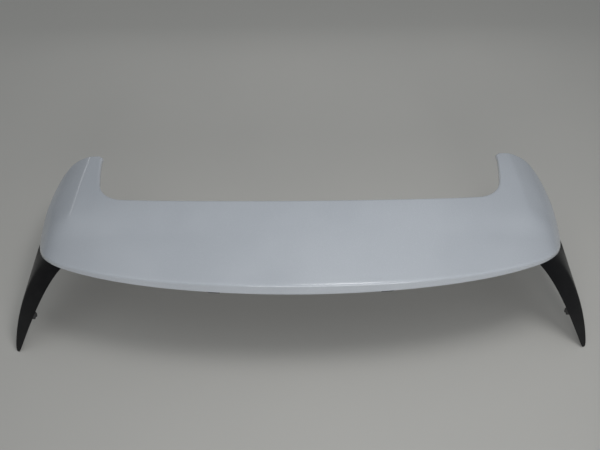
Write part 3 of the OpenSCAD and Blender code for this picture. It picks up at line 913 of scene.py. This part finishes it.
def screw_mesh(radius, height, shank, length):
    """Pan-head screw, head down, with a cross recess and a tapping thread."""
    profile = [(0, -height), (radius * 0.5, -height)]
    profile += [(radius * (0.5 + 0.5 * math.sin(a)), -height + height * 0.75 * (1 - math.cos(a)))
                for a in QUARTER[1::2]]
    profile += [(radius, -0.15 * height), (radius * 0.94, 0), (shank * 0.8, 0)]
    pitch = 1.4
    for i in range(int((length - 2) / pitch)):
        z = 0.5 + i * pitch
        profile += [(shank * 0.74, z), (shank, z + pitch * 0.3), (shank * 0.74, z + pitch * 0.6)]
    profile += [(shank * 0.7, length - 1.5), (0, length)]
    made = new_object("screw", mesh_from("screw", *lathe(profile, 32)))
    depth = height * 0.6
    arm = radius * 0.55
    half = radius * 0.11
    for turn in (0, 90):
        points, faces = box_shape((-arm, -half, -height - 1), (arm, half, -height + depth))
        points[points[:, 2] > -height] *= (0.55, 0.8, 1)
        c = math.cos(math.radians(turn))
        s = math.sin(math.radians(turn))
        turned = points @ np.array(((c, s, 0), (-s, c, 0), (0, 0, 1)))
        combine(made, new_object("slot", mesh_from("slot", turned, faces)), "DIFFERENCE")
    mesh = made.data
    bpy.data.objects.remove(made)
    points = np.array([v.co for v in mesh.vertices]) / MM
    return points, [tuple(face.vertices) for face in mesh.polygons]


def screws_piece(name, node, shape, head_height):
    places = [(*at, low + head_height) for at, low, high in middles(node)]
    made = new_object(name, mesh_from(name, *repeated(shape, places), 30))
    as_piece(made, steel, "steel", node)


def lamp_screws_piece(shape, head_height):
    points, faces = shape
    turned = np.stack((points[:, 0], -points[:, 2], points[:, 1]), 1)
    places = [((low[0] + high[0]) / 2, high[1] - head_height, (low[2] + high[2]) / 2)
              for low, high in islands("lamp_screws")]
    pair = repeated((turned, faces), places)
    made = new_object("lamp_screw_pair", mesh_from("lamp_screw_pair", *pair, 30))
    as_piece(made, steel, "steel", "lamp_screws")


def thread_shape(radius, low, high, pitch=1.0):
    """Threaded rod standing on the Z axis, with a chamfered lower end."""
    segments = 24
    steps = int((high - low) / pitch * 8)
    rings = []
    for i in range(steps + 1):
        z = low + (high - low) * i / steps
        ring = []
        for k in range(segments):
            phase = (z / pitch - k / segments) % 1
            groove = 0.54 * abs(2 * phase - 1)
            limit = radius - max(0, low + 0.9 - z)
            r = min(limit, radius - groove) if z < high - 0.6 else radius - groove * (high - z) / 0.6
            ring.append((r * math.cos(k / segments * math.tau), r * math.sin(k / segments * math.tau), z))
        rings.append(ring)
    points = np.array(rings).reshape(-1, 3)
    faces = loft_faces(len(rings), segments)
    faces += [tuple(range(segments)), tuple(range(len(points) - segments, len(points)))]
    return points, faces


def stud_shape(head_r, low, top):
    neck = 3.2
    head = [(0, -0.02), (neck, -0.02), (neck, top - 2), (head_r - 0.3, top - 2), (head_r, top - 1.7),
            (head_r, top - 0.3), (head_r - 0.3, top), (0, top)]
    return merged(thread_shape(3, low, 0), lathe(head, 40))


def studs():
    for node, head_r in (("inner_studs", 7), ("outer_studs", 5)):
        found = middles(node)
        shape = stud_shape(head_r, found[0][1], found[0][2])
        made = new_object(f"{node}_threaded",
                          mesh_from(node, *repeated(shape, [(*at, 0) for at, low, high in found]), 30))
        as_piece(made, steel, "steel", node)


def stud_seals():
    """Foam rings with rounded rims."""
    found = middles("stud_seals")
    turns = np.radians(np.arange(0, 360, 30))
    points = []
    for a in turns:
        r = 6.25 + 2.75 * np.clip(1.25 * math.cos(a), -1, 1)
        z = 1.5 + 1.5 * np.clip(1.35 * math.sin(a), -1, 1)
        points.append((r, z))
    shape_points, faces = lathe(points + points[:1], 56)
    places = [(*at, 0) for at, low, high in found]
    rings = repeated((shape_points, faces), places)
    made = new_object("stud_seal_rings", mesh_from("stud_seal_rings", *rings, 60))
    as_piece(made, foam, "foam", "stud_seals")


def locating_pins():
    """Ribbed plastic pins with a flange, pointed for entry."""
    found = middles("locating_pins")
    profile = [(0, -17), (1.6, -17), (2.2, -16.6), (4, -14)]
    for z in (-12.5, -10.5, -8.5, -6.5, -4.5):
        profile += [(4, z - 0.8), (3.55, z - 0.5), (3.55, z + 0.5), (4, z + 0.8)]
    profile += [(4, -2.4), (4.4, -2.05), (7.6, -2.05), (8, -1.7), (8, -0.05),
                (2.4, -0.05), (2.4, 4.6), (2, 5), (0, 5)]
    pins = repeated(lathe(profile), [(*at, 0) for at, low, high in found])
    made = new_object("ribbed_pins", mesh_from("ribbed_pins", *pins, 30))
    as_piece(made, textured_black, "textured_black", "locating_pins")


def push_clips():
    """Push rivets: a domed head with a sunk centre pin, and a barbed shank."""
    head = [(0, 0.5), (2.6, 0.45), (3, 0.9), (3.4, 0.9), (3.5, 0.1), (5.5, 0.15), (7.6, 0.45),
            (8.8, 1.1), (9, 1.6), (9, 2), (2.2, 2), (2.2, 5.6), (0, 5.6)]
    shank = [(0, -14), (2.2, -14)]
    for i in range(4):
        shank += [(2.2, 3.6 * i - 13.8), (4, 3.6 * i - 11.6), (3.6, 3.6 * i - 11.5), (2.2, 3.6 * i - 11.5)]
    shank += [(2.2, 8), (0, 8)]
    places = [(*at, (low + high) / 2) for at, low, high in middles("push_clips")]
    shape = merged(lathe(head), lathe(shank, 24))
    made = new_object("push_rivets", mesh_from("push_rivets", *repeated(shape, places), 30))
    as_piece(made, textured_black, "textured_black", "push_clips")


def foam_strip(name, node, low_u, high_u, low_v, high_v, thick, steps):
    """Foam strip stuck under the floor, rounded at its edges and a little uneven.

    It runs from low_u to high_u along the shell and from low_v to high_v across its floor."""
    def surface(k, u, h):
        v = low_v + (high_v - low_v) * k
        flat_u = np.abs(u).ravel()
        start, end = lower_edges(flat_u)
        q = between(start, end, v.ravel()[:, None])
        p = lift(q, floor_depth_at(q[:, 0], v.ravel())).reshape(u.shape + (3,))
        p[..., 0] *= np.where(u < 0, -1, 1)
        p[..., 2] -= 0.15 + (thick - 0.15) * h * (1 + 0.04 * np.sin(u * 190))
        return p
    shape = slab(surface, np.linspace(0.12, 0.88, 13), np.linspace(low_u, high_u, steps), 0.09, 0.004)
    as_piece(new_object(name, mesh_from(name, *shape)), foam, "foam", node)


def lamp_lens():
    """Red lens with upright flutes across its rear face."""
    low, high = (np.array(corner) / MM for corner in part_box("lamp_lens"))
    pitch = 4
    depth = 0.5
    x = np.arange(low[0] + 0.6, high[0] - 0.6, pitch / 8)
    rear = low[1] + depth * (0.5 - 0.5 * np.cos((x - x[0]) / pitch * math.tau))
    face_z = np.array((low[2], low[2] + 0.6, high[2] - 0.6, high[2]))
    inset = np.array((0.6, 0, 0, 0.6))
    outer = np.stack([np.stack((x, rear + drop, np.full_like(x, z)), -1)
                      for z, drop in zip(face_z, inset)], 1)
    inner = outer.copy()
    inner[..., 1] = low[1] + 3
    body = solid_from(outer, inner)
    step = box_shape((low[0] + 2.5, low[1] + 2.9, low[2] + 1), (high[0] - 2.5, high[1], high[2] - 1))
    made = new_object("fluted_lens", mesh_from("fluted_lens", *body))
    combine(made, new_object("step", mesh_from("step", *step)), "UNION")
    as_piece(made, lens_finish(), "lens", "lamp_lens")


def kept_nodes():
    """CAD nodes that stay take a finish of their slot, and eased edges."""
    edge = 0.3
    for part in frame["record"]["subparts"]:
        node = frame["nodes"][part["node"]]
        if node.hide_render:
            continue
        node.data.materials.clear()
        node.data.materials.append(FINISHES[part["material_slot"]])
        weld = node.modifiers.new("weld", "WELD")
        weld.merge_threshold = 1e-6
        ease = node.modifiers.new("ease", "BEVEL")
        ease.width = edge * MM
        ease.segments = 2
        ease.limit_method = "ANGLE"
        ease.angle_limit = math.radians(40)
        ease.harden_normals = True


# ---------- build ----------

# Heights of the screws' heads
HEAD_H = 2.5
LAMP_HEAD_H = 2

upper_shell()
lower_shell()
both_fins("fin_fine", fin_skin_shape(), gloss_black, "gloss_black", "fin_skin")
both_fins("fin_foam", tape_shape(), foam, "foam", "fin_tape")
body_screw = screw_mesh(4.5, HEAD_H, 2, 14)
screws_piece("fin_screw_set", "fin_screws", body_screw, HEAD_H)
screws_piece("shell_screw_set", "shell_screws", body_screw, HEAD_H)
lamp_screws_piece(screw_mesh(4, LAMP_HEAD_H, 2, 10), LAMP_HEAD_H)
studs()
stud_seals()
locating_pins()
push_clips()
foam_strip("front_seal_foam", "front_edge_seal", -0.588, 0.588, 0, 0.05, 6, 400)
foam_strip("left_pad_foam", "left_arm_pad", -0.786, -0.745, 0.35, 0.55, 5, 20)
foam_strip("right_pad_foam", "right_arm_pad", 0.745, 0.786, 0.35, 0.55, 5, 20)
lamp_lens()
kept_nodes()

# ---------- floor, light and camera ----------

scene = bpy.context.scene


def floor():
    """Pale floor just under the fins' tips. It is clear from below, so that the underside can be seen."""
    z = cad_box[0].z / MM - 1
    half = 4000
    corners = [(-half, -half, z), (half, -half, z), (half, half, z), (-half, half, z)]
    made = new_object("floor", mesh_from("floor", corners, [(0, 1, 2, 3)]))
    finish = new_material("floor", (0.60, 0.59, 0.565), 0.85)
    blend_colours(finish, noise(finish, 2, 3), (0.58, 0.575, 0.55), (0.62, 0.61, 0.58))
    tree = finish.node_tree
    behind = add_node(finish, "ShaderNodeNewGeometry").outputs["Backfacing"]
    clear = add_node(finish, "ShaderNodeBsdfTransparent")
    choice = add_node(finish, "ShaderNodeMixShader", [("Fac", behind)])
    tree.links.new(tree.nodes["Principled BSDF"].outputs["BSDF"], choice.inputs[1])
    tree.links.new(clear.outputs["BSDF"], choice.inputs[2])
    tree.links.new(choice.outputs["Shader"], tree.nodes["Material Output"].inputs["Surface"])
    made.data.materials.append(finish)


def soft_light(name, place, aim, width, depth, power, turn=0):
    """Rectangular light, turned about its own aim by so many degrees."""
    light = bpy.data.lights.new(name, "AREA")
    light.shape = "RECTANGLE"
    light.size = width
    light.size_y = depth
    light.energy = power
    made = bpy.data.objects.new(name, light)
    made.location = place
    aimed = (Vector(aim) - Vector(place)).to_track_quat("-Z", "Y").to_matrix().to_4x4()
    made.rotation_euler = (aimed @ Matrix.Rotation(math.radians(turn), 4, "Z")).to_euler()
    made.visible_camera = False
    scene.collection.objects.link(made)


def camera():
    """Camera behind and above the part, looking down at it by 50 degrees."""
    place = (0, -0.845, 1.033)
    lens = bpy.data.cameras.new("camera")
    lens.lens = 36
    lens.sensor_width = 36
    made = bpy.data.objects.new("camera", lens)
    tilt = Matrix.Rotation(math.radians(40), 4, "X")
    roll = Matrix.Rotation(math.radians(-0.47), 4, "Z")
    made.matrix_world = Matrix.Translation(place) @ tilt @ roll
    scene.collection.objects.link(made)
    scene.camera = made


def room():
    """Grey room that brightens towards the ceiling."""
    world = bpy.data.worlds.new("room")
    world.use_nodes = True
    tree = world.node_tree
    place = tree.nodes.new("ShaderNodeTexCoord")
    up = tree.nodes.new("ShaderNodeSeparateXYZ")
    ramp = tree.nodes.new("ShaderNodeMapRange")
    ramp.interpolation_type = "SMOOTHSTEP"
    ramp.inputs["From Min"].default_value = 0.5
    ramp.inputs["From Max"].default_value = 0.97
    ramp.inputs["To Min"].default_value = 0.075
    ramp.inputs["To Max"].default_value = 0.5
    tree.links.new(place.outputs["Generated"], up.inputs["Vector"])
    tree.links.new(up.outputs["Z"], ramp.inputs["Value"])
    background = tree.nodes["Background"]
    background.inputs["Color"].default_value = (0.95, 0.98, 1, 1)
    tree.links.new(ramp.outputs["Result"], background.inputs["Strength"])
    scene.world = world


floor()
room()
soft_light("ceiling", (0.26, 0.04, 1.3), (0.05, -0.17, 0), 0.5, 0.35, 4.7)
soft_light("fill", (0.3, -2.2, 0.7), (0, 0, 0), 1.6, 0.8, 18)
soft_light("crease_strip", (-2.07, 1.9, 1.13), (-0.514, 0.13, 0.02), 0.14, 1.1, 0.65, turn=-46)
soft_light("front_strip", (0, 1.1, 0.16), (0, 0.06, 0.04), 2.0, 0.1, 0.5)
camera()
scene.view_settings.view_transform = "Standard"
